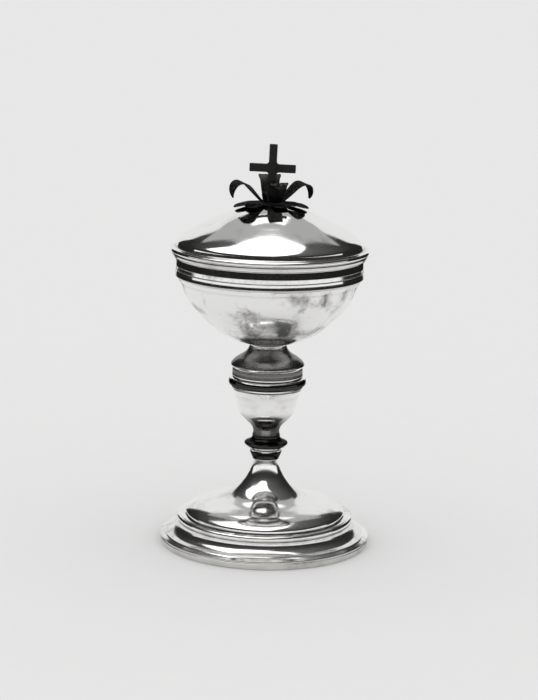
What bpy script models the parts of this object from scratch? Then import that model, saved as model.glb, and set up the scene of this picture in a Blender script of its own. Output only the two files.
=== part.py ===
"""Ciborium: a lidded cup on a knopped stem and a round foot, drawn together by one tie rod.

Metres, +Z up. The origin is the centre of the foot, on the plane that it stands on.
Every turned piece is a profile spun about +Z. Profiles are written in millimetres as
(radius, height) and are scaled by MM where they are spun.
"""

import math

import bmesh
import bpy
from mathutils import Vector

MM = 0.001
GAP = 0.3               # clearance between touching pieces

# Driving dimensions, in millimetres
HEIGHT = 240.0          # foot plane to the top of the cross
FOOT_R = 62.8
RIM_RING_H = 3.6
STEP_R = 53.1           # bead between the foot's cove and its ledge
LEDGE_R = 51.8
LEDGE_Z = 17.3
DOME_R = 48.1           # foot of the domed, trumpet-shaped upper foot
SHEET = 1.0             # wall of the spun pieces
STEM_R = 8.0
STEM_Z = 51.3           # top of the trumpet
KNOP_RING_R = 23.1
KNOP_BAND_R = 21.1
NECK_R = 11.3           # waist between knop and bowl
BOWL_BASE_Z = 121.9
BOWL_RIM_Z = 173.4
BOWL_R = 55.0
BOWL_WALL = 1.2
RIB_R = 56.0            # half-round mouldings around the bowl
LID_LIP_R = 59.0
LID_SEAT_Z = BOWL_RIM_Z + GAP
CROWN_R = 7.0           # flat top of the lid's dome, where the finial stands
CROWN_Z = 204.6
BEZEL_R = 53.4          # ring under the lid that drops inside the bowl
BEZEL_LOW_Z = 163.5
ROD_R = 2.5             # tie rod, M5
ROD_NUT_R = 5.06        # to its corners
ROD_NUT_H = 4.0
STUD_R = 2.0            # finial stud, M4
STUD_NUT_R = 4.1
STUD_NUT_H = 3.2
WASHER_H = 1.2
SEAT_R = 30.0           # plate inside the foot that the tie rod pulls up against
SEAT_Z = 23.2           # its underside
LEAF_SHEET = 0.7        # thickness of the finial's leaves
LEAF_TURN = math.radians(17)
ROSETTE_R = 22.0
BUD_R = 5.6
BUD_TOP_Z = 212.6
CROSS_BAR = 4.7
CROSS_THICK = 2.6
CROSS_SPAN = 27.2
CROSS_ARM_Z = 226.0
CROSS_LOW_Z = 211.4     # end of the cross's tenon, in the bud

LARGE = 32              # facets around the big turned pieces
MEDIUM = 24
SMALL = 16
BORE = 0.4              # radial play of a washer or nut on its thread
CURVE_STEPS = 2         # straight pieces for each stretch of a smooth outline


def clear_scene():
    for item in list(bpy.data.objects):
        bpy.data.objects.remove(item)


def metal(name, colour, roughness):
    material = bpy.data.materials.new(name)
    material.use_nodes = True
    shader = material.node_tree.nodes["Principled BSDF"]
    shader.inputs["Base Color"].default_value = (*colour, 1.0)
    shader.inputs["Metallic"].default_value = 1.0
    shader.inputs["Roughness"].default_value = roughness
    return material


# ---------------------------------------------------------------- outlines

def arc(centre, radius, start, end, steps):
    """Points of a circular arc; angles in degrees, 0 outward and 90 up."""
    points = []
    for i in range(steps + 1):
        angle = math.radians(start + (end - start) * i / steps)
        points.append((centre[0] + radius * math.cos(angle), centre[1] + radius * math.sin(angle)))
    return points


def smooth(points, steps=CURVE_STEPS):
    """A Catmull-Rom curve through the points, ends included."""
    ends = [points[0]] + list(points) + [points[-1]]
    out = []
    for a, b, c, d in zip(ends, ends[1:], ends[2:], ends[3:]):
        for i in range(steps):
            t = i / steps
            out.append(tuple(
                0.5 * (2 * q + (r - p) * t + (2 * p - 5 * q + 4 * r - s) * t ** 2
                       + (3 * q - p - 3 * r + s) * t ** 3)
                for p, q, r, s in zip(a, b, c, d)))
    out.append(tuple(points[-1]))
    return out


def inner_side(outer, wall):
    """The outer outline, which runs from top to bottom, moved inward by the wall."""
    moved = []
    for i, (r, z) in enumerate(outer):
        before = outer[max(i - 1, 0)]
        after = outer[min(i + 1, len(outer) - 1)]
        along = Vector((after[0] - before[0], after[1] - before[1])).normalized()
        moved.append((max(r + along.y * wall, 0.0), z - along.x * wall))
    return moved


# ---------------------------------------------------------------- solids

def new_object(name, bm, material, smooth_angle=35.0):
    bmesh.ops.recalc_face_normals(bm, faces=bm.faces)
    mesh = bpy.data.meshes.new(name)
    bm.to_mesh(mesh)
    bm.free()
    mesh.materials.append(material)
    mesh.shade_smooth()
    mesh.set_sharp_from_angle(angle=math.radians(smooth_angle))
    piece = bpy.data.objects.new(name, mesh)
    bpy.context.scene.collection.objects.link(piece)
    return piece


def spun(name, outline, material, facets=SMALL):
    """A closed outline spun about +Z. An outline with its ends on the axis stays open there."""
    bm = bmesh.new()
    verts = [bm.verts.new((r * MM, 0.0, z * MM)) for r, z in outline]
    edges = [bm.edges.new(pair) for pair in zip(verts, verts[1:])]
    if outline[0][0] > 0.0:
        edges.append(bm.edges.new((verts[-1], verts[0])))
    bmesh.ops.spin(bm, geom=verts + edges, cent=(0, 0, 0), axis=(0, 0, 1),
                   angle=math.tau, steps=facets, use_merge=True)
    bmesh.ops.remove_doubles(bm, verts=bm.verts, dist=1e-6)
    return new_object(name, bm, material)


def turned_ring(name, bore, outer, material, facets=SMALL):
    """A turned ring: the outer outline runs top to bottom and the bore closes it."""
    top, bottom = outer[0][1], outer[-1][1]
    return spun(name, outer + [(bore, bottom), (bore, top)], material, facets)


def hex_nut(name, corner_r, bore, low, high, material):
    """A hexagon nut with its corners turned down and a plain bore."""
    chamfer = 0.6
    clear = 2.0         # how far the cutters reach past the nut
    bm = bmesh.new()
    bmesh.ops.create_cone(bm, cap_ends=True, segments=6, radius1=corner_r * MM,
                          radius2=corner_r * MM, depth=(high - low) * MM)
    bmesh.ops.translate(bm, verts=bm.verts, vec=(0, 0, (low + high) / 2 * MM))
    nut = new_object(name, bm, material)
    crown = spun(name + "_turning", [
        (0.0, high + clear), (bore, high + clear), (corner_r - chamfer, high),
        (corner_r + chamfer, high - chamfer), (corner_r + chamfer, low + chamfer),
        (corner_r - chamfer, low), (bore, low - clear), (0.0, low - clear),
    ], material)
    drill = spun(name + "_drill", [
        (0.0, high + clear), (bore, high + clear), (bore, low - clear), (0.0, low - clear)], material)
    for tool, operation in ((crown, "INTERSECT"), (drill, "DIFFERENCE")):
        tool.hide_render = True
        tool.display_type = "WIRE"
        cut = nut.modifiers.new(tool.name, "BOOLEAN")
        cut.object = tool
        cut.operation = operation
        cut.solver = "EXACT"
    return nut


def leaf_whorl(name, leaves, hole_r, spine, half_widths, cup, material, turn=0.0, across=4):
    """Leaves cut and raised from one sheet around a hub.

    spine holds (radius, height) along the middle of a leaf, from the hub outward, and
    half_widths how far the leaf reaches to each side there. cup lifts the edges, and turn
    is the first leaf's angle from +X.
    """
    bm = bmesh.new()
    hub_r, hub_z = spine[0]
    spread = math.pi / leaves
    total = leaves * across

    def on_circle(radius, height, index):
        angle = 2 * spread * index / across - spread + turn
        return bm.verts.new((radius * math.cos(angle) * MM, radius * math.sin(angle) * MM, height * MM))

    hole = [on_circle(hole_r, hub_z, i) for i in range(total)]
    hub = [on_circle(hub_r, hub_z, i) for i in range(total)]
    for i in range(total):
        j = (i + 1) % total
        bm.faces.new((hole[i], hub[i], hub[j], hole[j]))
    for leaf in range(leaves):
        middle = 2 * spread * leaf + turn
        outward = Vector((math.cos(middle), math.sin(middle), 0.0))
        aside = Vector((-math.sin(middle), math.cos(middle), 0.0))
        row = [hub[(leaf * across + i) % total] for i in range(across + 1)]
        for (r, z), half in zip(spine[1:], half_widths[1:]):
            fresh = []
            for i in range(across + 1):
                side = 2 * i / across - 1
                place = outward * r + aside * half * side
                place.z = z + cup * half * side * side
                fresh.append(bm.verts.new(place * MM))
            for i in range(across):
                bm.faces.new((row[i], fresh[i], fresh[i + 1], row[i + 1]))
            row = fresh
    whorl = new_object(name, bm, material, 60.0)
    sheet = whorl.modifiers.new("Sheet", "SOLIDIFY")
    sheet.thickness = LEAF_SHEET * MM
    sheet.offset = 0.0
    return whorl


# ---------------------------------------------------------------- foot

def foot(silver):
    bevel = 0.6
    turned_ring("foot_rim_ring", FOOT_R - 5.6, [
        (FOOT_R - bevel, RIM_RING_H), (FOOT_R, RIM_RING_H - bevel), (FOOT_R, bevel), (FOOT_R - bevel, 0.0),
    ], silver, LARGE)
    bead_r = 1.9
    bead = arc((STEP_R - bead_r, LEDGE_Z - bead_r - 0.3), bead_r, 75, -75, 3)
    cove = smooth([(52.4, 13.0), (54.2, 8.4), (59.2, 6.0)])
    flange_low = RIM_RING_H + GAP
    top_side = [(DOME_R - 4.0, LEDGE_Z), (LEDGE_R - 0.6, LEDGE_Z)] + bead + cove
    top_side += [(FOOT_R - 0.5, flange_low + 0.9), (FOOT_R, flange_low + 0.4), (FOOT_R, flange_low)]
    under_side = [(58.0, flange_low), (54.4, 6.6), (51.9, 9.6), (51.4, 12.6), (50.6, 13.4),
                  (50.6, LEDGE_Z - 1.3), (DOME_R - 4.0, LEDGE_Z - 1.3)]
    spun("foot_base", top_side + under_side, silver, LARGE)
    trumpet = smooth([(STEM_R, STEM_Z), (8.7, 46.6), (12.5, 38.0), (21.6, 29.8), (34.0, 25.7),
                      (44.3, 22.0), (DOME_R, LEDGE_Z + GAP)])
    spun("foot_dome", trumpet + dome_lining(trumpet), silver, LARGE)


def dome_lining(trumpet):
    """The inside of the trumpet, bottom to top, cut off level with its outside at both ends."""
    lining = inner_side(trumpet, SHEET)[1:-1]
    lining = [(DOME_R - SHEET, LEDGE_Z + GAP)] + lining[::-1] + [(STEM_R - SHEET, STEM_Z)]
    return lining


# ---------------------------------------------------------------- tie rod and its seat

def threaded_pin(name, radius, low, high, material):
    """A plain pin for a threaded rod, with its lower end chamfered."""
    chamfer = radius / 4
    spun(name, [(0.0, high), (radius, high), (radius, low + chamfer), (radius - chamfer, low), (0.0, low)],
         material)


def tie_rod(silver, steel):
    bore = ROD_R + BORE
    washer_r = 3 * ROD_R
    plate_top = SEAT_Z + WASHER_H
    turned_ring("foot_seat_plate", bore, [
        (washer_r, plate_top), (SEAT_R - 3.0, plate_top), (SEAT_R, plate_top - WASHER_H / 2),
        (SEAT_R, SEAT_Z), (washer_r, SEAT_Z),
    ], silver, MEDIUM)
    washer_low = SEAT_Z - GAP - WASHER_H
    turned_ring("rod_washer", bore, [(washer_r, SEAT_Z - GAP), (washer_r, washer_low)], steel)
    nut_high = washer_low - GAP
    nut_low = nut_high - ROD_NUT_H
    hex_nut("rod_nut", ROD_NUT_R, bore, nut_low, nut_high, steel)
    threaded_pin("tie_rod", ROD_R, nut_low - 3.0, BOWL_BASE_Z - GAP - BORE, steel)


# ---------------------------------------------------------------- stem and knop

def stem(silver, dark):
    bore = ROD_R + BORE
    spigot_r = STEM_R - SHEET - 0.6
    turned_ring("stem_ferrule", bore, [
        (9.5, 55.2), (8.9, 53.6), (STEM_R, STEM_Z + GAP), (spigot_r, STEM_Z + GAP), (spigot_r, 48.6),
    ], dark)
    turned_ring("stem_ring", bore, [(8.9, 56.9)] + arc((8.9, 56.2), 0.7, 90, -90, 3), silver)
    turned_ring("lower_collar", bore, [
        (8.2, 65.3), (8.5, 63.9), (10.0, 62.2), (12.2, 61.4),
        (13.0, 60.6), (12.8, 59.7), (10.9, 57.9), (9.6, 57.2),
    ], dark, MEDIUM)
    vase = smooth([(20.9, 94.4), (18.3, 87.8), (17.0, 81.8), (10.4, 73.0), (7.8, 68.4), (8.3, 65.6)])
    inside = [p for p in inner_side(vase, SHEET) if p[1] > 67.4][::-1]
    spun("knop_vase", vase + [(bore, 65.6), (bore, 67.0), (6.9, 67.0)] + inside[:-1]
         + [(20.9 - SHEET, 94.4)], silver, MEDIUM)
    bead_r = 2.35
    turned_ring("knop_ring", 17.0, [(KNOP_RING_R - bead_r, 101.2)]
                + arc((KNOP_RING_R - bead_r, 98.85), bead_r, 75, -75, 4)
                + [(KNOP_RING_R - 2.2, 96.0), (KNOP_RING_R - 2.4, 94.7)], dark, MEDIUM)
    turned_ring("knop_band", KNOP_BAND_R - 1.6, [
        (KNOP_BAND_R - 0.3, 107.5), (KNOP_BAND_R, 107.1), (KNOP_BAND_R, 101.9), (KNOP_BAND_R - 0.3, 101.5),
    ], silver, MEDIUM)
    cap = smooth([(NECK_R, 119.4), (14.2, 115.6), (20.2, 111.3), (21.9, 108.6)])
    inside = inner_side(cap, SHEET)[1:-1][::-1]
    inside += [(9.4, 118.2), (bore, 118.2), (bore, 119.4)]
    spun("knop_cap", cap + [(21.3, 107.8), (20.0, 107.8)] + inside, silver, MEDIUM)
    turned_ring("bowl_boss", bore, [
        (NECK_R, BOWL_BASE_Z - GAP), (NECK_R - 0.4, 120.6), (NECK_R + 0.1, 119.7)], silver, MEDIUM)


# ---------------------------------------------------------------- bowl

def bowl(silver):
    wall = smooth([(53.0, 158.0), (49.6, 149.6), (38.9, 137.1), (26.6, 127.2), (12.0, BOWL_BASE_Z)])
    outside = [(BOWL_R, BOWL_RIM_Z), (BOWL_R, 161.0), (54.5, 158.8)] + wall + [(0.0, BOWL_BASE_Z)]
    lining = [p for p in inner_side(wall, BOWL_WALL) if p[1] > BOWL_BASE_Z + 2.2]
    floor_z = BOWL_BASE_Z + 1.6
    inside = [(0.0, floor_z), (11.0, floor_z)] + lining[::-1]
    inside += [(BOWL_R - BOWL_WALL, 160.6), (BOWL_R - BOWL_WALL, BOWL_RIM_Z)]
    spun("bowl", inside + outside, silver, LARGE)
    seam_r = BOWL_R + GAP
    turned_ring("bowl_moulding_upper", seam_r, [
        (RIB_R - 0.5, 173.2), (RIB_R, 172.5), (RIB_R, 169.3), (RIB_R - 0.5, 168.6),
    ], silver, LARGE)
    turned_ring("bowl_moulding_lower", seam_r, [
        (seam_r + 0.1, 166.0), (seam_r + 0.2, 164.6), (RIB_R - 0.1, 163.6),
        (RIB_R, 163.0), (RIB_R, 162.4), (RIB_R - 0.4, 161.8),
    ], silver, LARGE)


# ---------------------------------------------------------------- lid

def lid(silver):
    moulding_top = LID_SEAT_Z + 2.2
    turned_ring("lid_rim_moulding", BEZEL_R + GAP, [
        (57.6, moulding_top), (58.0, moulding_top - 0.5), (57.9, moulding_top - 1.2), (57.2, LID_SEAT_Z),
    ], silver, LARGE)
    bezel_in = BEZEL_R - 1.0
    turned_ring("lid_bezel", bezel_in, [(BEZEL_R, moulding_top), (BEZEL_R, BEZEL_LOW_Z + 1.0),
                                        (BEZEL_R - 0.5, BEZEL_LOW_Z)], silver, LARGE)
    lip_z = 178.0
    lip = arc((LID_LIP_R - 1.4, lip_z), 1.4, 75, -60, 3)
    dome = smooth([(CROWN_R, CROWN_Z), (22.0, 201.1), (37.4, 193.4), (49.4, 187.3), (53.8, 182.6)])
    cove = [(54.4, 181.2), (55.9, 180.1)]
    low_z = moulding_top + GAP
    outside = dome + cove + lip + [(57.7, low_z)]
    lining = inner_side(dome, SHEET)[1:-1][::-1]
    inside = [(54.2, low_z), (54.2, 178.6), (53.1, 180.2), (52.6, 182.0)] + lining
    hole = STUD_R + BORE
    outline = [(hole, CROWN_Z)] + outside + inside + [(CROWN_R, CROWN_Z - SHEET), (hole, CROWN_Z - SHEET)]
    spun("lid_dome", outline, silver, LARGE)


# ---------------------------------------------------------------- finial

def cross(silver):
    """A flat Latin cross with small concave fillets at its crossing."""
    half = CROSS_BAR / 2
    arm = CROSS_SPAN / 2
    fillet = 1.6
    low = CROSS_LOW_Z - CROSS_ARM_Z
    high = HEIGHT - CROSS_ARM_Z
    nick = 0.5
    edge = 0.25

    def corner(sx, sz):
        centre = (sx * (half + fillet), sz * (half + fillet))
        points = []
        for i in range(4):
            angle = math.radians(30 * i)
            points.append((centre[0] - sx * fillet * math.cos(angle),
                           centre[1] - sz * fillet * math.sin(angle)))
        return points

    right = [(half - nick, high), (half, high - nick)] + corner(1, 1)
    right += [(arm - nick, half), (arm, half - nick), (arm, nick - half), (arm - nick, -half)]
    right += corner(1, -1)[::-1] + [(half, low)]
    outline = right + [(-x, z) for x, z in right[::-1]]
    bm = bmesh.new()
    front = [bm.verts.new((x * MM, -CROSS_THICK / 2 * MM, (z + CROSS_ARM_Z) * MM)) for x, z in outline]
    face = bm.faces.new(front)
    grown = bmesh.ops.extrude_face_region(bm, geom=[face])
    moved = [v for v in grown["geom"] if isinstance(v, bmesh.types.BMVert)]
    bmesh.ops.translate(bm, verts=moved, vec=(0, CROSS_THICK * MM, 0))
    bmesh.ops.recalc_face_normals(bm, faces=bm.faces)
    rim = [e for e in bm.edges if abs(e.verts[0].co.y - e.verts[1].co.y) < 1e-6]
    bmesh.ops.bevel(bm, geom=rim, offset=edge * MM, segments=1, affect="EDGES")
    new_object("cross", bm, silver)


def bud(low, dark):
    """A turned bud on the stud's end, mortised for the cross's tenon."""
    pocket_z = 209.0
    side = smooth([(4.1, BUD_TOP_Z), (5.4, 211.4), (BUD_R, 209.8), (4.6, 208.2), (4.4, low)])
    bore = STUD_R + BORE
    socket = spun("finial_bud", [(0.0, BUD_TOP_Z)] + side + [(bore, low), (bore, pocket_z), (0.0, pocket_z)],
                  dark)
    deep = 2 * (BUD_TOP_Z - CROSS_LOW_Z + GAP)
    bm = bmesh.new()
    bmesh.ops.create_cube(bm, size=1.0)
    bmesh.ops.scale(bm, verts=bm.verts, vec=[size * MM for size in
                                             (CROSS_BAR + 2 * GAP, CROSS_THICK + 2 * GAP, deep)])
    bmesh.ops.translate(bm, verts=bm.verts, vec=(0, 0, (CROSS_LOW_Z - GAP + deep / 2) * MM))
    mortise = new_object("finial_bud_mortise", bm, dark)
    mortise.hide_render = True
    mortise.display_type = "WIRE"
    cut = socket.modifiers.new("Mortise", "BOOLEAN")
    cut.object = mortise
    cut.solver = "EXACT"


def finial_leaves(dark):
    """A rosette of six flat leaves and, above it, four tall leaves that curl over. Returns their top."""
    bore = STUD_R + BORE
    rosette_z = CROWN_Z + GAP + LEAF_SHEET / 2
    leaf_whorl("finial_rosette", 6, bore, [
        (8.0, rosette_z), (12.0, rosette_z), (16.0, 204.4), (19.4, 203.6), (21.4, 203.0), (ROSETTE_R, 202.7),
    ], [0.0, 5.6, 6.9, 6.2, 3.6, 1.2], 0.03, dark)
    calyx_z = rosette_z + LEAF_SHEET + GAP
    leaf_whorl("finial_leaves", 4, bore, [
        (5.6, calyx_z), (8.4, 208.9), (11.6, 212.2), (14.8, 215.4), (17.6, 217.2), (20.4, 217.3),
        (22.8, 215.6), (24.0, 212.8), (24.0, 210.2), (23.4, 208.2),
    ], [0.0, 5.4, 7.0, 8.2, 8.8, 8.6, 7.4, 5.2, 3.0, 1.0], 0.02, dark, LEAF_TURN)
    return calyx_z + LEAF_SHEET / 2


def finial(dark, steel):
    leaves_top = finial_leaves(dark)
    bud(leaves_top + GAP, dark)
    cross(dark)
    washer_high = CROWN_Z - SHEET - GAP
    washer_low = washer_high - 1.0
    turned_ring("finial_washer", STUD_R + BORE, [(3 * STUD_R, washer_high), (3 * STUD_R, washer_low)], steel)
    nut_high = washer_low - GAP
    nut_low = nut_high - STUD_NUT_H
    hex_nut("finial_nut", STUD_NUT_R, STUD_R + BORE, nut_low, nut_high, steel)
    threaded_pin("finial_stud", STUD_R, nut_low - 1.8, 209.0 - GAP, steel)


def main():
    clear_scene()
    silver = metal("polished_silver", (0.78, 0.77, 0.74), 0.16)
    dark = metal("tarnished_silver", (0.22, 0.21, 0.20), 0.3)
    steel = metal("turned_steel", (0.5, 0.5, 0.5), 0.35)
    foot(silver)
    tie_rod(silver, steel)
    stem(silver, dark)
    bowl(silver)
    lid(silver)
    finial(dark, steel)


main()
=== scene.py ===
"""Looks for the ciborium vessel: turned metal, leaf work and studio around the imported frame.

Outlines are in millimetres as (radius, height). Each is fitted to the box of the CAD node
that it stands for, so its place and size come from the frame.
"""

import math

import bmesh
import bpy
from mathutils import Matrix, Vector, noise


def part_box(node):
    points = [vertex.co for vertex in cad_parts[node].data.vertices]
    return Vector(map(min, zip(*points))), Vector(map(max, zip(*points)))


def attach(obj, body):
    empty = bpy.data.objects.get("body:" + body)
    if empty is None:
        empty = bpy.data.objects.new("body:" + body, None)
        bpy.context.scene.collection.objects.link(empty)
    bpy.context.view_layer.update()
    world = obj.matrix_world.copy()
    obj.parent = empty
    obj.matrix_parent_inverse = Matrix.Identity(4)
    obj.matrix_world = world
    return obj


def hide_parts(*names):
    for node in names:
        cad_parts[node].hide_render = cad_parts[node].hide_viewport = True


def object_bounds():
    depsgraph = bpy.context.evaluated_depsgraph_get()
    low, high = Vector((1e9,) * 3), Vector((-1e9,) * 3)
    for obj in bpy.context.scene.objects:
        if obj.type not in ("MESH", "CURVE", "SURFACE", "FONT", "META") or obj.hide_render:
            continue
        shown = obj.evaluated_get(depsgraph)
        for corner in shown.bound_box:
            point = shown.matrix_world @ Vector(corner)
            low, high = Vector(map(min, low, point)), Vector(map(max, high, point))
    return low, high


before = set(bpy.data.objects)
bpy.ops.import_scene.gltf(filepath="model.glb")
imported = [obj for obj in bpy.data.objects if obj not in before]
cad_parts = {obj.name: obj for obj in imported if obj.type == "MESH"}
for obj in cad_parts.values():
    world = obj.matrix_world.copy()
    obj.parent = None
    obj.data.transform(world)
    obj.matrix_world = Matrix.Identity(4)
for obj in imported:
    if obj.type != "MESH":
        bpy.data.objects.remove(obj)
cad_low, cad_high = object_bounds()

MM = 0.001
AROUND = 224            # facets around a large turned piece
AROUND_SMALL = 128
AROUND_NUT = 96
AROUND_ROD = 64

# Corners of turned outlines, in millimetres and degrees
EDGE = 0.22             # radius worn onto a corner
EDGE_STEPS = 4
SHARP = 20              # least turn that counts as a corner
NEAREST = 0.45          # most of a side that the rounding may take
HOLD = 0.05             # how far past a rounded corner the flat is held true
RECESS_REACH = 1.6      # how far round a point a hollow is looked for
RECESS_FULL = 0.9       # turn in radians over that reach that counts as a full hollow

# Pieces, in millimetres and degrees
WALL = 1.0              # of the spun foot, knop and lid
BOWL_WALL = 1.2
ROD_BORE = 2.9
STUD_BORE = 2.4
NUT_FACE = 0.95         # radius of a nut's turned face, as a share of the half width over flats
NUT_SINK = 0.3
NUT_CHAMFER = 30
LEAF_SHEET = 0.6
LEAF_MIDDLE = 0.35      # from a leaf sheet's middle to the end of its box
LEAF_TURN = 17
CROSS_BAR = 4.7
CROSS_FILLET = 1.6
CROSS_NICK = 0.35       # filed off each outer corner
CROSS_ARMS_BELOW_TOP = 14.0
CROSS_LEAN = 1.6        # to the right: the tenon sits a little loose in the bud

# Tarnish and wear, in noise cells per metre
SWELL_SCALE = 34.0
CLOUD_SCALE = 42.0
SCRATCH_SCALE = 260.0
SPECK_SCALE = 900.0
LINE_SCALE = 2600.0

# Camera and studio, in metres and degrees
CAMERA_BACK = 1.254
CAMERA_UP = 0.380
CAMERA_ASIDE = 0.0006
CAMERA_PITCH = 11.84
CAMERA_ROLL = 1.25
LENS = 110.6
SENSOR = 36.0
LIGHT_CENTRE = cad_high.z * 0.6
CARD_DISTANCE = 2.4
FLOOR_RADIUS = 12.0
FAR_PAPER = 0.80        # brightness of the paper behind, to the eye and in reflections


# ---------------------------------------------------------------- outlines

def curve(points, steps=8):
    """A Catmull-Rom curve through the points, ends included."""
    ends = [points[0]] + list(points) + [points[-1]]
    out = []
    for a, b, c, d in zip(ends, ends[1:], ends[2:], ends[3:]):
        for i in range(steps):
            t = i / steps
            out.append(tuple(
                0.5 * (2 * q + (r - p) * t + (2 * p - 5 * q + 4 * r - s) * t ** 2
                       + (3 * q - p - 3 * r + s) * t ** 3)
                for p, q, r, s in zip(a, b, c, d)))
    out.append(tuple(points[-1]))
    return out


def arc(centre, radius, start, end, steps=10):
    """A circular arc; angles in degrees, 0 outward and 90 up."""
    points = []
    for i in range(steps + 1):
        angle = math.radians(start + (end - start) * i / steps)
        points.append((centre[0] + radius * math.cos(angle), centre[1] + radius * math.sin(angle)))
    return points


def inner_side(outer, wall):
    """An outline that runs from top to bottom, moved inward by the wall."""
    moved = []
    for i, (r, z) in enumerate(outer):
        before = outer[max(i - 1, 0)]
        after = outer[min(i + 1, len(outer) - 1)]
        along = Vector((after[0] - before[0], after[1] - before[1])).normalized()
        moved.append((max(r + along.y * wall, 0.0), z - along.x * wall))
    return moved


def lined(points):
    """Marks points as belonging to the second material."""
    return [(p[0], p[1], 1) for p in points]


def tag_of(point):
    """1 for a point that lined() marked, otherwise 0."""
    return point[2] if len(point) > 2 else 0


def soften(outline, radius=EDGE):
    """Rounds each corner of a closed outline, and holds the flats beside it true."""
    out = []
    count = len(outline)
    for i, point in enumerate(outline):
        before, after = outline[i - 1], outline[(i + 1) % count]
        here, tag = Vector(point[:2]), tag_of(point)
        back, ahead = Vector(before[:2]) - here, Vector(after[:2]) - here
        corner = here.x > 1e-6 and back.length > 1e-6 and ahead.length > 1e-6
        turn = math.pi - back.angle(ahead) if corner else 0.0
        if turn < math.radians(SHARP):
            out.append((here.x, here.y, tag))
            continue
        reach = min(radius * math.tan(turn / 2), back.length * NEAREST, ahead.length * NEAREST)
        start, end = here + back.normalized() * reach, here + ahead.normalized() * reach
        if back.length * (1 - NEAREST) - reach > 2.2 * HOLD:
            held = start + back.normalized() * HOLD
            out.append((held.x, held.y, tag * tag_of(before)))
        for k in range(EDGE_STEPS + 1):
            t = k / EDGE_STEPS
            at = start * (1 - t) ** 2 + here * 2 * t * (1 - t) + end * t ** 2
            out.append((at.x, at.y, tag))
        if ahead.length * (1 - NEAREST) - reach > 2.2 * HOLD:
            held = end + ahead.normalized() * HOLD
            out.append((held.x, held.y, tag * tag_of(after)))
    return out


def painted_highlight_share(angle, painted_highlight_band):
    """How far the painted shade is left off at an angle, as a painted highlight: wholly in the middle of the
    band, not at all outside it.
    """
    centre, half = painted_highlight_band
    away = abs((math.degrees(angle) - centre + 180) % 360 - 180)
    return max(0.0, min(1.0, 2 - 2 * away / half))


def fitted(outline, node):
    """The outline in metres, stretched the little that fits it to the node's own box."""
    low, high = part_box(node)
    widest = max(p[0] for p in outline)
    bottom, top = min(p[1] for p in outline), max(p[1] for p in outline)
    across = high.x / widest
    upward = (high.z - low.z) / (top - bottom)
    return [(r * across, low.z + (z - bottom) * upward, tag) for r, z, tag in outline]


def recesses(outline):
    """How far each point of a closed outline lies in a hollow, from 0 to 1."""
    reach = RECESS_REACH * MM
    found = []
    points = [Vector(p[:2]) for p in outline]
    count = len(points)
    centre = sum(points, Vector((0.0, 0.0))) / count
    signed = sum(points[i].cross(points[(i + 1) % count]) for i in range(count))
    side = 1.0 if signed < 0 else -1.0
    for i in range(count):
        before, after = i, i
        for step in range(1, 40):
            if (points[i] - points[(i - step) % count]).length < reach:
                before = (i - step) % count
            if (points[i] - points[(i + step) % count]).length < reach:
                after = (i + step) % count
        a, b = points[i] - points[before], points[after] - points[i]
        turn = math.atan2(a.cross(b), a.dot(b)) if a.length > 0 and b.length > 0 else 0.0
        found.append(max(0.0, min(1.0, side * turn / RECESS_FULL)))
    return found


# ---------------------------------------------------------------- pieces

def keep(piece, body, nodes):
    """Lets a piece ride on its body in place of the CAD nodes."""
    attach(piece, body)
    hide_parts(*nodes)
    return piece


def linked(name, data):
    """A new object, put in the scene."""
    item = bpy.data.objects.new(name, data)
    bpy.context.scene.collection.objects.link(item)
    return item


def worn_edges(piece, width, segments, angle):
    """A small bevel on the edges that turn by more than the angle."""
    worn = piece.modifiers.new("Worn", "BEVEL")
    worn.width = width * MM
    worn.segments = segments
    worn.limit_method = "ANGLE"
    worn.angle_limit = math.radians(angle)


def mesh_piece(name, verts, faces, materials, smooth_angle=40.0):
    mesh = bpy.data.meshes.new(name)
    mesh.from_pydata(verts, [], faces)
    for material in materials:
        mesh.materials.append(material)
    work = bmesh.new()
    work.from_mesh(mesh)
    bmesh.ops.recalc_face_normals(work, faces=work.faces)
    work.to_mesh(mesh)
    work.free()
    mesh.shade_smooth()
    mesh.set_sharp_from_angle(angle=math.radians(smooth_angle))
    return linked(name, mesh)


def turned(name, node, outline, body, materials, around=AROUND, edge=EDGE, painted_shade_heights=None, painted_highlight_band=None):
    """A closed outline spun about the stem's axis, in two materials where points are marked.

    The painted shade argument holds two heights in millimetres: painted shade grows from none at the first to
    full at the second.
    The painted highlight argument holds the azimuth and half width in degrees of a band where that painted
    shade is left off, as a painted highlight.
    """
    outline = fitted(soften(outline, edge), node)
    verts, faces, hollow_and_shade_values, starts, second = [], [], [], [], []
    for (r, z, tag), hollow_and_shade in zip(outline, recesses(outline)):
        on_axis = r < 1e-7
        if painted_shade_heights:
            hollow_and_shade = max(hollow_and_shade, min(1.0, max(0.0, (z / MM - painted_shade_heights[0]) / (painted_shade_heights[1] - painted_shade_heights[0]))))
        starts.append((len(verts), on_axis, tag))
        for k in range(1 if on_axis else around):
            angle = math.tau * k / around
            verts.append((r * math.cos(angle), r * math.sin(angle), z))
            hollow_and_shade_values.append(hollow_and_shade * (1 - painted_highlight_share(angle, painted_highlight_band)) if painted_highlight_band else hollow_and_shade)
    for (a, a_point, a_tag), (b, b_point, b_tag) in zip(starts, starts[1:] + starts[:1]):
        if a_point and b_point:
            continue
        for k in range(around):
            n = (k + 1) % around
            if a_point:
                faces.append((a, b + k, b + n))
            elif b_point:
                faces.append((a + k, b, a + n))
            else:
                faces.append((a + k, b + k, b + n, a + n))
            second.append(a_tag * b_tag)
    piece = mesh_piece(name, verts, faces, materials)
    # Stored per point for the material: tarnishing in hollows, raised by the painted shade and lowered in the
    # painted highlight band.
    layer = piece.data.attributes.new("hollow_and_painted_shade", "FLOAT", "POINT")
    layer.data.foreach_set("value", hollow_and_shade_values)
    if len(materials) > 1:
        piece.data.polygons.foreach_set("material_index", second)
    return keep(piece, body, [node])


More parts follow.
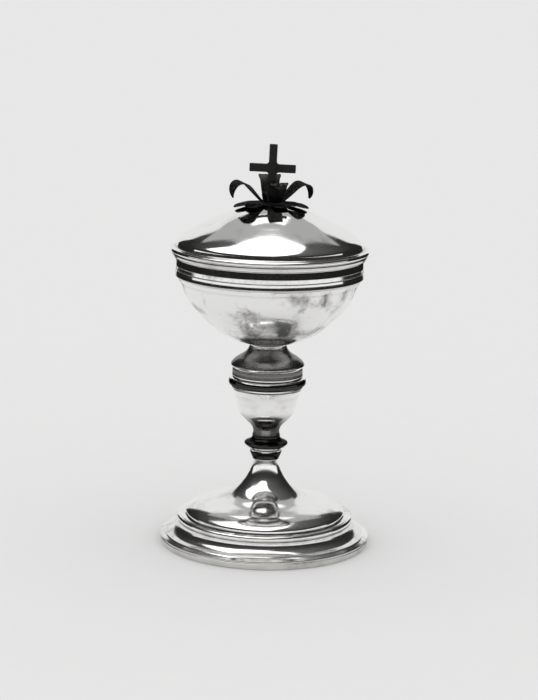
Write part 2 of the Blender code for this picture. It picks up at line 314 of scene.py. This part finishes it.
def hex_nut(name, node, bore, body):
    """A hexagon nut: flats, corners turned down to a cone, a countersunk bore."""
    low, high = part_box(node)
    flat = (high.x - low.x) / 2
    bore_r, face_r, sink = bore * MM, flat * NUT_FACE, NUT_SINK * MM
    verts, faces = [], []
    for k in range(AROUND_NUT):
        angle = math.tau * k / AROUND_NUT
        to_flat = (angle + math.pi / 6) % (math.pi / 3) - math.pi / 6
        r = flat / math.cos(to_flat)
        drop = (r - face_r) * math.tan(math.radians(NUT_CHAMFER))
        section = [(bore_r + sink, high.z), (face_r, high.z), (r, high.z - drop), (r, low.z + drop),
                   (face_r, low.z), (bore_r + sink, low.z), (bore_r, low.z + sink), (bore_r, high.z - sink)]
        for radius, z in section:
            verts.append((radius * math.cos(angle), radius * math.sin(angle), z))
    sides = len(section)
    for k in range(AROUND_NUT):
        a, b = k * sides, (k + 1) % AROUND_NUT * sides
        for i in range(sides):
            n = (i + 1) % sides
            faces.append((a + i, a + n, b + n, b + i))
    return keep(mesh_piece(name, verts, faces, [STEEL], 25.0), body, [node])


# ---------------------------------------------------------------- materials

class Nodes:
    """A small helper that builds a node tree from left to right."""

    def __init__(self, name):
        self.material = bpy.data.materials.new(name)
        self.material.use_nodes = True
        self.tree = self.material.node_tree
        self.shader = self.tree.nodes["Principled BSDF"]

    def add(self, kind, **values):
        node = self.tree.nodes.new(kind)
        for key, value in values.items():
            if key in node.inputs:
                self.put(value, node.inputs[key])
            else:
                setattr(node, key, value)
        return node

    def put(self, value, socket):
        if isinstance(value, bpy.types.NodeSocket):
            self.tree.links.new(value, socket)
        else:
            socket.default_value = value

    def math(self, operation, a, b=0.0, clamp=False):
        node = self.tree.nodes.new("ShaderNodeMath")
        node.operation = operation
        node.use_clamp = clamp
        self.put(a, node.inputs[0])
        self.put(b, node.inputs[1])
        return node.outputs[0]

    def noise(self, vector, scale, detail=3.0, roughness=0.55):
        return self.add("ShaderNodeTexNoise", Vector=vector, Scale=scale, Detail=detail,
                        Roughness=roughness).outputs["Fac"]

    def band(self, value, low, high, to_low=0.0, to_high=1.0):
        node = self.add("ShaderNodeMapRange", interpolation_type="SMOOTHSTEP")
        self.put(value, node.inputs["Value"])
        self.put(low, node.inputs["From Min"])
        self.put(high, node.inputs["From Max"])
        self.put(to_low, node.inputs["To Min"])
        self.put(to_high, node.inputs["To Max"])
        return node.outputs["Result"]

    def mix(self, factor, a, b):
        node = self.add("ShaderNodeMix", data_type="RGBA")
        self.put(factor, node.inputs["Factor"])
        self.put(a, node.inputs["A"])
        self.put(b, node.inputs["B"])
        return node.outputs["Result"]


def colour(r, g, b):
    return (r, g, b, 1.0)


def worn_metal(name, bright, tarnish_and_shade, polish, cover=0.12, hollow_and_shade_cover=0.8, dents=0.12, spin=0.10,
               pits=0.25, grazing=1.0):
    """Turned metal: clouds and specks of tarnish, dirt in the recesses, spinning lines, soft dents.

    polish is the bare metal's roughness, and cover, the hollow cover and pits say how strongly the clouds,
    recesses and specks are tarnished; the hollow cover also scales a piece's painted shade. grazing is the
    brightness of reflections at a glancing angle.
    """
    n = Nodes(name)
    place = n.add("ShaderNodeTexCoord").outputs["Object"]
    split = n.add("ShaderNodeSeparateXYZ", Vector=place)
    x, y, z = (split.outputs[axis] for axis in "XYZ")
    radius = n.math("SQRT", n.math("ADD", n.math("MULTIPLY", x, x), n.math("MULTIPLY", y, y)))
    section = n.add("ShaderNodeCombineXYZ")
    n.put(radius, section.inputs["X"])
    n.put(z, section.inputs["Y"])
    clouds = n.noise(place, CLOUD_SCALE, 5.0, 0.6)
    specks = n.noise(place, SPECK_SCALE, 4.0, 0.6)
    scratches = n.noise(place, SCRATCH_SCALE, 6.0, 0.7)
    lines = n.noise(section.outputs["Vector"], LINE_SCALE, 2.0, 0.5)
    swell = n.noise(place, SWELL_SCALE, 1.0, 0.4)
    hollow_and_shade = n.add("ShaderNodeAttribute", attribute_name="hollow_and_painted_shade").outputs["Fac"]
    cloud_part = n.math("MULTIPLY", n.band(clouds, 0.50, 0.78), cover * 3.0)
    speck_part = n.math("MULTIPLY", n.band(specks, 0.60, 0.74), n.band(clouds, 0.40, 0.7, 0.15 * pits, pits))
    # Hollows darken with tarnishing, and the same attribute carries the painted shade on the vase.
    hollow_and_shade_part = n.math("MULTIPLY", n.math("MULTIPLY", hollow_and_shade, hollow_and_shade_cover), n.band(clouds, 0.2, 0.7, 0.6, 1.0))
    dirt_and_shade = n.math("ADD", n.math("ADD", cloud_part, speck_part), hollow_and_shade_part, clamp=True)
    n.put(n.mix(dirt_and_shade, colour(*bright), colour(*tarnish_and_shade)), n.shader.inputs["Base Color"])
    rubbing = n.band(scratches, 0.3, 0.75, polish * 0.8, polish * 1.5)
    n.put(n.math("ADD", rubbing, n.math("MULTIPLY", dirt_and_shade, 0.22)), n.shader.inputs["Roughness"])
    n.shader.inputs["Metallic"].default_value = 1.0
    n.shader.inputs["Specular Tint"].default_value = colour(grazing, grazing, grazing)
    bump = n.add("ShaderNodeBump", Strength=dents, Distance=0.0012, Height=swell)
    fine = n.add("ShaderNodeBump", Strength=spin, Distance=0.00006, Height=lines,
                 Normal=bump.outputs["Normal"])
    grain = n.add("ShaderNodeBump", Strength=0.10, Distance=0.00008, Height=specks,
                  Normal=fine.outputs["Normal"])
    n.put(grain.outputs["Normal"], n.shader.inputs["Normal"])
    return n.material


SILVER = worn_metal("silver_polished", (0.95, 0.945, 0.93), (0.24, 0.22, 0.19), 0.07, hollow_and_shade_cover=0.5)
SILVER_SPECKLED = worn_metal("silver_speckled", (0.95, 0.945, 0.93), (0.16, 0.15, 0.13), 0.105, cover=0.16,
                             hollow_and_shade_cover=0.5, pits=0.8)
SILVER_WORN = worn_metal("silver_worn", (0.94, 0.935, 0.92), (0.13, 0.12, 0.10), 0.13, cover=0.17,
                         hollow_and_shade_cover=0.35, pits=0.5)
# Silver for the vase, whose stored hollow values also carry painted shade towards its bottom.
SILVER_TO_SHADE = worn_metal("silver_to_painted_shade", (0.94, 0.935, 0.92), (0.07, 0.065, 0.06), 0.11, cover=0.14,
                          hollow_and_shade_cover=1.1, pits=0.6)
SILVER_MOTTLED = worn_metal("silver_mottled", (0.93, 0.925, 0.91), (0.10, 0.09, 0.08), 0.15, cover=0.40,
                            hollow_and_shade_cover=0.3, pits=1.3)
# Grey silver: painted shade on the cap, the knop band's hollow and the vase's lower part.
SILVER_GREY_SHADE = worn_metal("silver_painted_grey_shade", (0.30, 0.295, 0.29), (0.05, 0.045, 0.04), 0.22, cover=0.2, pits=0.4,
                  grazing=0.7)
# Near-black silver for the leaves, cross and bud.
DARK = worn_metal("silver_near_black", (0.050, 0.049, 0.048), (0.012, 0.011, 0.010), 0.34, cover=0.25,
                  hollow_and_shade_cover=0.9, dents=0.15, spin=0.0, pits=0.5, grazing=0.25)
# Near-black silver: painted dark reflection on the ferrule, collar and knop ring.
SILVER_DARK_REFLECTION = worn_metal("silver_painted_dark_reflection", (0.06, 0.059, 0.058), (0.015, 0.014, 0.013), 0.13, cover=0.2,
                       grazing=0.4)
GILT = worn_metal("silver_gilt", (0.95, 0.72, 0.36), (0.42, 0.26, 0.10), 0.2, cover=0.06, pits=0.15)
STEEL = worn_metal("steel_turned", (0.56, 0.56, 0.57), (0.20, 0.17, 0.14), 0.3, cover=0.2, dents=0.0,
                   spin=0.3)


# ---------------------------------------------------------------- foot

def build_foot():
    turned("foot_ring", "foot_rim_ring", [
        (62.3, 3.6), (62.8, 3.2), (62.8, 0.4), (62.3, 0.0), (57.2, 0.0), (57.2, 3.6),
    ], "vessel", [SILVER])
    bead = arc((51.2, 15.1), 1.9, 78, -72)
    cove = curve([(52.3, 13.1), (52.7, 11.0), (54.2, 8.6), (56.6, 6.9), (59.2, 6.1)])
    top_side = [(44.2, 17.3), (51.0, 17.3)] + bead + cove
    top_side += [(59.8, 6.3), (60.4, 5.9)] + curve([(60.4, 5.9), (61.8, 5.2), (62.6, 4.8)], 3)[1:]
    top_side += [(62.8, 4.4), (62.8, 3.9)]
    under = [(58.0, 3.9)] + curve([(56.4, 5.6), (53.8, 7.6), (51.8, 10.2), (51.3, 12.6)])
    under += [(50.4, 13.6), (50.4, 16.0), (44.2, 16.0)]
    turned("foot_base_spinning", "foot_base", top_side + under,
           "vessel", [SILVER_SPECKLED])
    trumpet = curve([(8.0, 51.3), (8.7, 46.6), (10.2, 41.8), (12.7, 37.8), (16.4, 33.5), (21.4, 29.9),
                     (27.6, 27.4), (34.0, 25.7), (40.2, 23.9), (44.9, 21.6), (47.5, 19.4), (48.1, 17.6)])
    lining = inner_side(trumpet, WALL)[1:-1][::-1]
    turned("foot_dome_spinning", "foot_dome", trumpet + [(47.1, 17.6)] + lining + [(7.0, 51.3)],
           "vessel", [SILVER_SPECKLED])


# ---------------------------------------------------------------- stem and knop

def build_stem():
    """Ferrule, bead and collar."""
    bore = ROD_BORE
    flare = curve([(9.5, 55.2), (8.9, 53.6), (8.0, 51.6)], 5)
    # The ferrule is near-black silver: a painted dark reflection.
    turned("ferrule", "stem_ferrule", flare + [(6.4, 51.6), (6.4, 48.6), (bore, 48.6), (bore, 55.2)],
           "vessel", [SILVER_DARK_REFLECTION], AROUND_SMALL)
    turned("stem_bead", "stem_ring", [
        (9.4, 56.9), (9.6, 56.65), (9.15, 55.7), (8.9, 55.5), (bore, 55.5), (bore, 56.9)],
           "vessel", [SILVER], AROUND_SMALL)
    collar = curve([(8.2, 65.3), (8.4, 64.2), (9.2, 63.0), (10.8, 62.0), (12.3, 61.4)])
    collar += arc((12.2, 60.5), 0.8, 60, -50, 6) + [(12.3, 59.5), (11.6, 58.9)]
    # The collar is near-black silver as a painted dark reflection; its underside, marked here, is bright
    # silver as a painted highlight.
    collar += lined(curve([(11.4, 58.7), (10.6, 57.9), (9.6, 57.2)], 4))
    turned("collar", "lower_collar", collar + [(bore, 57.2), (bore, 65.3)],
           "vessel", [SILVER_DARK_REFLECTION, SILVER], AROUND_SMALL)


def build_knop():
    """Vase, ring, band and cap, and the boss under the bowl."""
    bore = ROD_BORE
    vase = curve([(20.9, 94.4), (20.1, 92.8), (18.9, 90.0), (17.9, 86.0), (17.1, 82.0), (15.3, 78.2),
                  (12.4, 75.0), (9.6, 72.2), (8.1, 69.6), (7.8, 67.8), (8.0, 66.4), (8.3, 65.6)])
    seat_top, grey_shade_below = 67.4, 71.5
    lining = [p for p in inner_side(vase, WALL) if p[1] > seat_top][::-1]
    upper = [p for p in vase if p[1] > grey_shade_below]
    vase = upper + lined(vase[len(upper):])
    # Painted shade on the vase: grey silver below the lower height, darkening towards the bottom above it,
    # with a painted highlight band left bright near the front.
    turned("vase", "knop_vase",
           vase + [(bore, 65.6), (bore, 67.0), (6.7, 67.0)] + lining[:-1] + [(19.9, 94.4)],
           "vessel", [SILVER_TO_SHADE, SILVER_GREY_SHADE], painted_shade_heights=(81.0, 73.5), painted_highlight_band=(-93.0, 24.0))
    face = curve([(21.0, 101.2), (21.9, 100.9), (22.6, 100.2), (23.0, 99.2), (23.1, 98.2), (22.9, 97.2),
                  (22.2, 96.5), (21.0, 96.1)])
    # Above this height the ring's top is bright silver: a painted highlight.
    painted_highlight_above = 100.1
    shoulder = lined([p for p in face if p[1] > painted_highlight_above])
    bead = [p for p in face if p[1] <= painted_highlight_above][:-1]
    foot = lined([(21.3, 96.0), (21.4, 95.2), (20.7, 94.7), (17.0, 94.7)])
    # The ring is near-black silver as a painted dark reflection, with bright silver on its top and foot as
    # painted highlights.
    turned("knop_bead", "knop_ring", shoulder + bead + foot + [(17.0, 101.2)],
           "vessel", [SILVER_DARK_REFLECTION, SILVER])
    top_edge = lined([(20.3, 107.5), (20.9, 106.9), (21.1, 106.4)])
    low_edge = lined([(21.1, 102.5), (20.8, 101.5)])
    hollow = [(21.05, 106.2), (20.95, 104.5), (21.05, 102.7)]
    # The band's hollow is grey silver as painted shade, its edges bright silver as painted highlights.
    turned("band", "knop_band", top_edge + hollow + low_edge + [(19.5, 101.5), (19.5, 107.5)],
           "vessel", [SILVER_GREY_SHADE, SILVER])
    cap = curve([(11.3, 119.4), (11.7, 118.2), (13.0, 116.4), (15.4, 114.5), (18.2, 112.8), (20.4, 111.0),
                 (21.6, 109.6), (21.9, 108.6)])
    lining = inner_side(cap, WALL)[1:-1][::-1]
    edge = lined([(21.85, 109.0), (21.9, 108.5), (21.3, 107.8), (20.0, 107.8)])
    # The cap is grey silver as painted shade under the bowl, its edge bright silver as a painted highlight.
    turned("cap", "knop_cap", cap[:-1] + edge + lining + [(9.4, 118.2), (bore, 118.2), (bore, 119.4)],
           "vessel", [SILVER_GREY_SHADE, SILVER])
    neck = curve([(11.3, 121.6), (10.9, 120.7), (11.4, 119.7)], 5)
    turned("boss", "bowl_boss", neck + [(bore, 119.7), (bore, 121.6)],
           "vessel", [SILVER_WORN], AROUND_SMALL)


# ---------------------------------------------------------------- bowl and lid

def build_bowl():
    wall = curve([(52.9, 158.0), (51.6, 154.4), (49.7, 149.8), (45.2, 143.3), (39.0, 137.1), (32.8, 131.3),
                  (26.8, 127.2), (19.5, 123.8), (15.0, 122.6), (12.0, 121.9)])
    outside = [(54.5, 173.4), (55.0, 173.0), (55.0, 168.5), (55.03, 168.3), (55.27, 166.5), (55.3, 166.3),
               (55.0, 166.1), (55.0, 161.5)]
    outside += curve([(54.7, 161.2), (54.3, 160.2), (53.9, 159.3)], 4)
    outside += [(53.8, 159.0), (53.2, 158.9), (53.0, 158.4)] + wall
    floor_r, floor_z = 19.5, 124.2
    lining = [p for p in inner_side(wall, BOWL_WALL) if p[1] > floor_z and p[0] > floor_r][::-1]
    inside = [(0.0, 123.5), (11.0, 123.5), (18.0, 124.4)] + lining
    inside += [(53.2, 159.8), (53.8, 161.2), (53.8, 173.0), (54.1, 173.4)]
    turned("bowl_spinning", "bowl", lined(inside) + outside + [(0.0, 121.9)],
           "vessel", [SILVER_MOTTLED, GILT])
    turned("upper_rib", "bowl_moulding_upper", [
        (55.8, 173.2), (56.0, 173.0), (56.0, 168.8), (55.8, 168.6), (55.3, 168.6), (55.3, 173.2)],
           "vessel", [SILVER])
    turned("lower_rib", "bowl_moulding_lower", [
        (55.5, 166.0), (55.6, 165.9), (55.62, 165.75), (55.8, 164.75), (55.82, 164.6), (56.0, 164.4),
        (56.0, 162.7), (55.9, 162.5), (55.85, 162.4), (55.6, 161.95), (55.5, 161.8), (55.3, 161.8),
        (55.3, 166.0)], "vessel", [SILVER])


def build_lid():
    turned("lid_rim", "lid_rim_moulding", [
        (57.8, 175.9), (58.0, 175.7), (57.6, 174.6), (57.3, 174.3), (57.2, 173.7),
        (53.7, 173.7), (53.7, 175.9)], "lid", [SILVER])
    turned("bezel", "lid_bezel", [(53.4, 175.9), (53.4, 164.6), (52.9, 163.5), (52.4, 163.9), (52.4, 175.9)],
           "lid", [GILT])
    lip = arc((57.6, 178.0), 1.4, 80, -62)
    dome = curve([(7.0, 204.6), (14.0, 203.4), (22.0, 201.0), (30.0, 197.6), (37.0, 194.0), (44.0, 190.2),
                  (49.3, 187.05), (52.6, 184.8), (54.6, 182.8), (55.1, 181.3), (55.4, 180.3)])
    cove = curve([(55.5, 180.1), (55.8, 179.75), (56.3, 179.55), (57.0, 179.45)], 5)
    inside = [(54.2, 176.2), (54.2, 178.6), (53.1, 180.2), (52.7, 182.0)]
    inside += inner_side(dome, WALL)[1:-20][::-1]
    turned("lid_spinning", "lid_dome", [(2.4, 204.6)] + dome + cove + lip[1:]
           + [(57.9, 176.6), (57.7, 176.2)] + lined(inside + [(7.0, 203.6), (2.4, 203.6)]),
           "lid", [SILVER, GILT])


# ---------------------------------------------------------------- finial

def leaf_whorl(name, node, shapes, hole_r, spine, widths, cup, vein, turn=0.0):
    """Leaves raised from one sheet around a hub, with a midrib, lobed margins and a little hand wander.

    shapes holds each leaf's lift in millimetres, its reach and width as shares, and its bend in degrees.
    spine is one leaf's middle as (radius, height), and widths its half widths along the spine.
    """
    across, hub_rings = 18, 4
    leaves = len(shapes)
    route = curve(spine, 6)
    spans = curve([(w, 0.0) for w in widths], 6)
    spread = math.pi / leaves
    total = leaves * across
    bm = bmesh.new()
    hub_r, hub_z = route[0]
    crest_at = max(range(len(route)), key=lambda i: route[i][1])
    crest = route[crest_at][1]
    steps = len(route) - 1

    def ring_at(radius, height):
        ring = []
        for i in range(total):
            angle = 2 * spread * i / across - spread + turn
            place = (radius * math.cos(angle) * MM, radius * math.sin(angle) * MM, height * MM)
            ring.append(bm.verts.new(place))
        return ring

    rings = [ring_at(hole_r + (hub_r - hole_r) * k / hub_rings, hub_z) for k in range(hub_rings + 1)]
    for low, high in zip(rings, rings[1:]):
        for i in range(total):
            j = (i + 1) % total
            bm.faces.new((low[i], high[i], high[j], low[j]))
    for leaf, (lift, reach, slim, bend) in enumerate(shapes):
        middle = 2 * spread * leaf + turn + math.radians(bend)
        outward = Vector((math.cos(middle), math.sin(middle), 0.0))
        aside = Vector((-math.sin(middle), math.cos(middle), 0.0))
        row = [rings[-1][(leaf * across + i) % total] for i in range(across + 1)]
        sway = 0.6 * noise.noise(Vector((leaf * 1.7, 0.3, leaves)))
        for k in range(1, len(route)):
            r, z = route[k]
            share = k / steps
            if k > crest_at:
                z = crest - (crest - z) * reach ** 2
            r = hub_r + (r - hub_r) * reach
            narrowed = 1 - (1 - slim) * min(1.0, share * 3)
            half = spans[k][0] * narrowed * (1 + 0.05 * math.sin(share * 15.0 + leaf))
            fresh = []
            for i in range(across + 1):
                side = 2 * i / across - 1
                place = outward * r + aside * (half * side + sway * share * share)
                rib = vein * math.exp(-(side / 0.16) ** 2) * (1 - share ** 3)
                flute = -0.35 * vein * math.cos(side * 9.0) * (1 - abs(side)) * min(1.0, share * 4)
                raised = lift * math.sin(min(1.0, share * 1.6) * math.pi / 2)
                place.z = z + cup * half * side * side - rib * 0.6 + flute + raised
                fresh.append(bm.verts.new(place * MM))
            for i in range(across):
                bm.faces.new((row[i], fresh[i], fresh[i + 1], row[i + 1]))
            row = fresh
    bmesh.ops.recalc_face_normals(bm, faces=bm.faces)
    mesh = bpy.data.meshes.new(name)
    bm.to_mesh(mesh)
    bm.free()
    mesh.materials.append(DARK)
    mesh.shade_smooth()
    piece = linked(name, mesh)
    sheet = piece.modifiers.new("Sheet", "SOLIDIFY")
    sheet.thickness = LEAF_SHEET * MM
    sheet.offset = 0.0
    worn_edges(piece, 0.12, 2, 50)
    keep(piece, "lid", [node])


def build_leaves():
    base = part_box("finial_rosette")[1].z / MM - LEAF_MIDDLE
    shapes = [(0.0, 1.0, 1.0, 0.0)] * 4 + [(0.3, 0.72, 0.8, -18.0), (0.3, 0.55, 0.8, 0.0)]
    leaf_whorl("rosette", "finial_rosette", shapes, 2.4, [
        (8.0, base - LEAF_MIDDLE), (12.0, base - LEAF_MIDDLE), (16.0, 204.4), (19.4, 203.6),
        (21.4, 203.0), (21.9, 202.75),
    ], [4.2, 5.6, 6.9, 6.2, 3.6, 1.2], 0.03, 0.35)
    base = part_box("finial_leaves")[0].z / MM + LEAF_MIDDLE
    shapes = [(-0.7, 1.0, 1.0, 0.0), (3.0, 0.62, 0.72, -12.0), (0.6, 1.0, 1.0, 0.0), (1.4, 0.6, 0.7, 0.0)]
    leaf_whorl("acanthus", "finial_leaves", shapes, 2.4, [
        (5.6, base), (8.4, 208.9), (11.6, 212.2), (14.8, 215.4), (17.6, 217.1), (20.4, 217.2),
        (22.8, 215.6), (24.0, 212.8), (24.0, 210.2), (23.4, 208.4),
    ], [4.4, 5.4, 7.0, 8.2, 8.8, 8.6, 7.4, 5.2, 3.0, 1.0], 0.02, 0.5, math.radians(LEAF_TURN))


def build_cross():
    """A flat Latin cross sawn from plate, with filed fillets and worn edges."""
    low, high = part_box("cross")
    bar, fillet, nick = CROSS_BAR * MM, CROSS_FILLET * MM, CROSS_NICK * MM
    half, arm = bar / 2, high.x
    centre_z = high.z - CROSS_ARMS_BELOW_TOP * MM
    thick = (high.y - low.y) / 2
    steps = 8

    def corner(sx, sz):
        centre = (sx * (half + fillet), sz * (half + fillet))
        out = []
        for i in range(steps + 1):
            angle = math.radians(90 * i / steps)
            out.append((centre[0] - sx * fillet * math.cos(angle), centre[1] - sz * fillet * math.sin(angle)))
        return out

    up, down = high.z - centre_z, low.z - centre_z
    right = [(half - nick, up), (half, up - nick)] + corner(1, 1)
    right += [(arm - nick, half), (arm, half - nick), (arm, nick - half), (arm - nick, -half)]
    right += corner(1, -1)[::-1] + [(half, down)]
    outline = right + [(-x, z) for x, z in right[::-1]]
    bm = bmesh.new()
    front = [bm.verts.new((x, -thick, z + centre_z)) for x, z in outline]
    face = bm.faces.new(front)
    grown = bmesh.ops.extrude_face_region(bm, geom=[face])
    moved = [v for v in grown["geom"] if isinstance(v, bmesh.types.BMVert)]
    bmesh.ops.translate(bm, verts=moved, vec=(0, 2 * thick, 0))
    bmesh.ops.recalc_face_normals(bm, faces=bm.faces)
    lean, root = math.radians(CROSS_LEAN), Vector((0.0, 0.0, low.z))
    bmesh.ops.rotate(bm, verts=bm.verts, cent=root, matrix=Matrix.Rotation(lean, 3, "Y"))
    settle = min(0.0, high.z - max(v.co.z for v in bm.verts))
    bmesh.ops.translate(bm, verts=bm.verts, vec=(0.0, 0.0, settle))
    broad = [f for f in bm.faces if len(f.verts) > 4]
    bmesh.ops.triangulate(bm, faces=broad, ngon_method="EAR_CLIP")

    # The extrusion's own order varies from run to run, so points and faces are listed in a fixed one.
    ordered = sorted(bm.verts, key=lambda v: v.co.y < 0)
    number = {v: i for i, v in enumerate(ordered)}
    verts = [tuple(v.co) for v in ordered]
    faces = []
    for face in bm.faces:
        ring = [number[v] for v in face.verts]
        first = ring.index(min(ring))
        faces.append(ring[first:] + ring[:first])
    bm.free()
    piece = mesh_piece("latin_cross", verts, sorted(faces), [DARK], 60.0)
    worn_edges(piece, 0.16, 3, 40)
    keep(piece, "lid", ["cross"])


# ---------------------------------------------------------------- hardware

def threaded(name, node, radius, body, length, pitch):
    """A rod whose lower end carries a cut thread over the given length."""
    low, high = (v.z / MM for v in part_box(node))
    root = radius - 0.6 * pitch
    side = [(0.0, high), (radius - 0.3, high), (radius, high - 0.3), (radius, low + length)]
    turns = int((length - 0.6) / pitch)
    for k in range(turns):
        crest = low + length - (k + 0.5) * pitch
        side += [(root, crest), (radius, crest - pitch / 2)]
    side += [(radius - 0.5, low), (0.0, low)]
    turned(name, node, side, body, [STEEL], AROUND_ROD, 0.05)


def build_hardware():
    turned("seat_plate", "foot_seat_plate", [
        (30.0, 23.8), (30.0, 23.2), (ROD_BORE, 23.2), (ROD_BORE, 24.4), (27.0, 24.4)],
           "vessel", [SILVER_GREY_SHADE], AROUND_SMALL)
    turned("rod_washer_turned", "rod_washer", [
        (7.5, 22.9), (7.5, 21.7), (ROD_BORE, 21.7), (ROD_BORE, 22.9)],
           "vessel", [STEEL], AROUND_SMALL)
    turned("stud_washer", "finial_washer", [
        (6.0, 203.3), (6.0, 202.3), (STUD_BORE, 202.3), (STUD_BORE, 203.3)],
           "lid", [STEEL], AROUND_SMALL)
    hex_nut("rod_nut_cut", "rod_nut", 2.6, "vessel")
    hex_nut("stud_nut_cut", "finial_nut", 2.1, "lid")
    threaded("rod", "tie_rod", 2.5, "vessel", 14.0, 0.8)
    threaded("stud", "finial_stud", 2.0, "lid", 7.0, 0.7)
    bud = curve([(4.1, 212.6), (5.4, 211.4), (5.6, 209.8), (4.6, 208.2), (4.4, 206.9)])
    pocket_z = 209.0
    turned("bud", "finial_bud",
           [(0.0, 212.6)] + bud + [(STUD_BORE, 206.9), (STUD_BORE, pocket_z), (0.0, pocket_z)],
           "lid", [DARK], AROUND_SMALL)


# ---------------------------------------------------------------- studio

def build_camera():
    data = bpy.data.cameras.new("camera")
    data.lens = LENS
    data.sensor_width = SENSOR
    camera = linked("camera", data)
    tilt = Matrix.Rotation(math.radians(90 - CAMERA_PITCH), 4, "X")
    roll = Matrix.Rotation(math.radians(CAMERA_ROLL), 4, "Z")
    camera.matrix_world = Matrix.Translation((CAMERA_ASIDE, -CAMERA_BACK, CAMERA_UP)) @ (tilt @ roll)
    bpy.context.scene.camera = camera


def sector(name, inner, outer, start, end, height, material, steps=96):
    """A flat part of a ring on the floor; angles in degrees from +X, anticlockwise."""
    verts = []
    for r in (inner, outer):
        for k in range(steps + 1):
            angle = math.radians(start + (end - start) * k / steps)
            verts.append((r * math.cos(angle), r * math.sin(angle), height))
    faces = [(k, k + 1, steps + k + 2, steps + k + 1) for k in range(steps)]
    return staged(name, verts, faces, material)


def staged(name, verts, faces, material):
    mesh = bpy.data.meshes.new(name)
    mesh.from_pydata(verts, [], faces)
    mesh.materials.append(material)
    item = linked(name, mesh)
    return item


def only_in_reflections(item):
    item.visible_camera = False
    item.visible_diffuse = False
    item.visible_shadow = False
    item.visible_transmission = False


def glow(name, radiance):
    material = bpy.data.materials.new(name)
    material.use_nodes = True
    shader = material.node_tree.nodes["Principled BSDF"]
    shader.inputs["Base Color"].default_value = colour(0.0, 0.0, 0.0)
    shader.inputs["Specular IOR Level"].default_value = 0.0
    shader.inputs["Emission Color"].default_value = colour(1.0, 1.0, 1.0)
    shader.inputs["Emission Strength"].default_value = radiance
    return material


def curved_card(name, azimuths, elevations, radiance, distance=CARD_DISTANCE, steps=24):
    """A lit card on a sphere around the cup. Azimuth 0 is the camera's side and 90 the right."""
    centre = Vector((0.0, 0.0, LIGHT_CENTRE))
    verts, faces = [], []
    for i in range(steps + 1):
        a = math.radians(azimuths[0] + (azimuths[1] - azimuths[0]) * i / steps)
        for j in range(steps + 1):
            e = math.radians(elevations[0] + (elevations[1] - elevations[0]) * j / steps)
            outward = Vector((math.sin(a) * math.cos(e), -math.cos(a) * math.cos(e), math.sin(e)))
            verts.append(centre + distance * outward)
    for i in range(steps):
        for j in range(steps):
            k = i * (steps + 1) + j
            faces.append((k, k + 1, k + steps + 2, k + steps + 1))
    only_in_reflections(staged(name, verts, faces, glow(name + "_light", radiance)))


def overhead_panel(name, plan, height, radiance):
    """A flat lit panel above the cup; plan holds its corners as shares of its height above it."""
    z = LIGHT_CENTRE + height
    verts = [(x * height, y * height, z) for x, y in plan]
    only_in_reflections(staged(name, verts, [tuple(range(len(verts)))], glow(name + "_light", radiance)))


def build_world():
    """A room that is dim in reflections, pale paper to the eye and an even light on everything."""
    world = bpy.data.worlds.new("studio")
    world.use_nodes = True
    bpy.context.scene.world = world
    tree = world.node_tree
    link = tree.links.new

    def choose(factor, a, b):
        node = tree.nodes.new("ShaderNodeMix")
        node.data_type = "RGBA"
        link(factor, node.inputs["Factor"])
        for value, socket in ((a, node.inputs["A"]), (b, node.inputs["B"])):
            if isinstance(value, bpy.types.NodeSocket):
                link(value, socket)
            else:
                socket.default_value = colour(value, value, value)
        return node.outputs["Result"]

    path = tree.nodes.new("ShaderNodeLightPath")
    split = tree.nodes.new("ShaderNodeSeparateXYZ")
    link(tree.nodes.new("ShaderNodeTexCoord").outputs["Generated"], split.inputs[0])
    room = tree.nodes.new("ShaderNodeValToRGB")
    stops = room.color_ramp
    stops.elements[0].position, stops.elements[0].color = 0.0, colour(0.015, 0.015, 0.015)
    stops.elements[1].position, stops.elements[1].color = 1.0, colour(0.16, 0.16, 0.16)
    for position, level in ((0.48, 0.02), (0.68, 0.05), (0.85, 0.09)):
        stop = stops.elements.new(position)
        stop.color = colour(level, level, level)
    link(split.outputs["Z"], room.inputs["Fac"])
    seen = choose(path.outputs["Is Camera Ray"], 1.0, FAR_PAPER)
    lit = choose(path.outputs["Is Glossy Ray"], seen, room.outputs["Color"])
    link(lit, tree.nodes["Background"].inputs["Color"])


def build_studio():
    paper = Nodes("studio_paper")
    place = paper.add("ShaderNodeTexCoord").outputs["Object"]
    fibre = paper.noise(place, 60.0, 4.0)
    shade = paper.mix(fibre, colour(0.79, 0.79, 0.79), colour(0.81, 0.81, 0.805))
    paper.put(shade, paper.shader.inputs["Base Color"])
    paper.shader.inputs["Roughness"].default_value = 0.9
    paper.shader.inputs["Specular IOR Level"].default_value = 0.0
    sector("floor", 0.0, FLOOR_RADIUS, 0, 360, cad_low.z - 0.1 * MM, paper.material)

    cloth = Nodes("black_cloth")
    cloth.shader.inputs["Base Color"].default_value = colour(0.012, 0.012, 0.012)
    cloth.shader.inputs["Roughness"].default_value = 0.95
    cloth.shader.inputs["Specular IOR Level"].default_value = 0.0
    only_in_reflections(sector("dark_surround", 0.5, 11.5, 115, 425, cad_low.z + 4 * MM, cloth.material))

    overhead_panel("ceiling_panel", [(-0.95, 0.42), (-1.0, -0.1), (-0.35, -0.8), (0.1, -0.8), (0.36, -0.1),
                                     (0.32, 0.42)], 1.8, 1.7)
    curved_card("back_paper", (154, 206), (-10, 38), FAR_PAPER)
    curved_card("rear_window", (165, 199), (46, 59.5), 1.4)
    curved_card("rear_ceiling", (146, 214), (38, 70), 0.40, 2.6)
    curved_card("front_card", (-105, 98), (-2.5, 10), 0.95)
    build_world()


build_camera()
build_studio()
build_foot()
build_stem()
build_knop()
build_bowl()
build_lid()
build_leaves()
build_cross()
build_hardware()
bpy.context.scene.view_settings.view_transform = "Standard"
